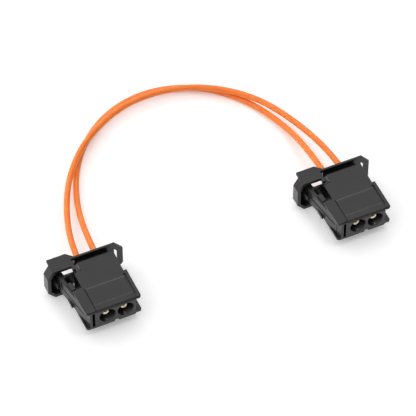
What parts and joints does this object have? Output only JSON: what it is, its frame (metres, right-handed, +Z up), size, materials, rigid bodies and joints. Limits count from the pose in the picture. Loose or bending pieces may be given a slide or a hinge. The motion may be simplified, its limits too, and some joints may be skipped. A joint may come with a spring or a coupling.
{
  "type": "fibre optic bypass loop",
  "caption": "Jumper loop of plastic optical fibre: arched orange cables between flat black latching plugs with brass ferrules, used to bridge a gap in a fibre ring.",
  "frame": {"origin": "middle of the footprint of the two plugs, on the surface that they stand on", "axes": "+X is the way the plugs are pushed in, +Y runs across from plug a to plug b, +Z is up"},
  "size_m": [0.0984, 0.1296, 0.0143],
  "materials": {
    "black_plastic": "matt moulded glass-filled plastic",
    "latch_plastic": "matt moulded plastic, the same as the housing",
    "lock_plastic": "matt moulded plastic",
    "brass": "turned",
    "inner_sheath": "matt black polymer sheath",
    "fibre_core": "clear acrylic core, polished at its end",
    "cable_jacket": "satin orange polymer jacket"
  },
  "bodies": {
    "loop": {"housing_a": "black_plastic", "ferrule_a1": "brass", "inner_sheath_a1": "inner_sheath", "fibre_core_a1": "fibre_core", "ferrule_a2": "brass", "inner_sheath_a2": "inner_sheath", "fibre_core_a2": "fibre_core", "housing_b": "black_plastic", "ferrule_b1": "brass", "inner_sheath_b1": "inner_sheath", "fibre_core_b1": "fibre_core", "ferrule_b2": "brass", "inner_sheath_b2": "inner_sheath", "fibre_core_b2": "fibre_core", "loop_cable_outer": "cable_jacket", "loop_cable_inner": "cable_jacket"},
    "latch_a": {"latch_lever_a": "latch_plastic"},
    "latch_b": {"latch_lever_b": "latch_plastic"},
    "lock_a": {"secondary_lock_a": "lock_plastic"},
    "lock_b": {"secondary_lock_b": "lock_plastic"}
  },
  "joints": [
    {"name": "latch_a_hinge", "type": "hinge", "parent": "loop", "child": "latch_a", "pos_m": [0.0112, -0.0574, 0.00845], "axis": [0, 0, -1], "range_deg": [0, 5], "stiffness_Nm_per_rad": 0.05},
    {"name": "latch_b_hinge", "type": "hinge", "parent": "loop", "child": "latch_b", "pos_m": [0.0112, 0.0416, 0.00845], "axis": [0, 0, -1], "range_deg": [0, 5], "stiffness_Nm_per_rad": 0.05},
    {"name": "lock_a_slide", "type": "slide", "parent": "loop", "child": "lock_a", "axis": [0, 1, 0], "range_m": [0, 0.0025]},
    {"name": "lock_b_slide", "type": "slide", "parent": "loop", "child": "lock_b", "axis": [0, 1, 0], "range_m": [0, 0.0025]}
  ]
}
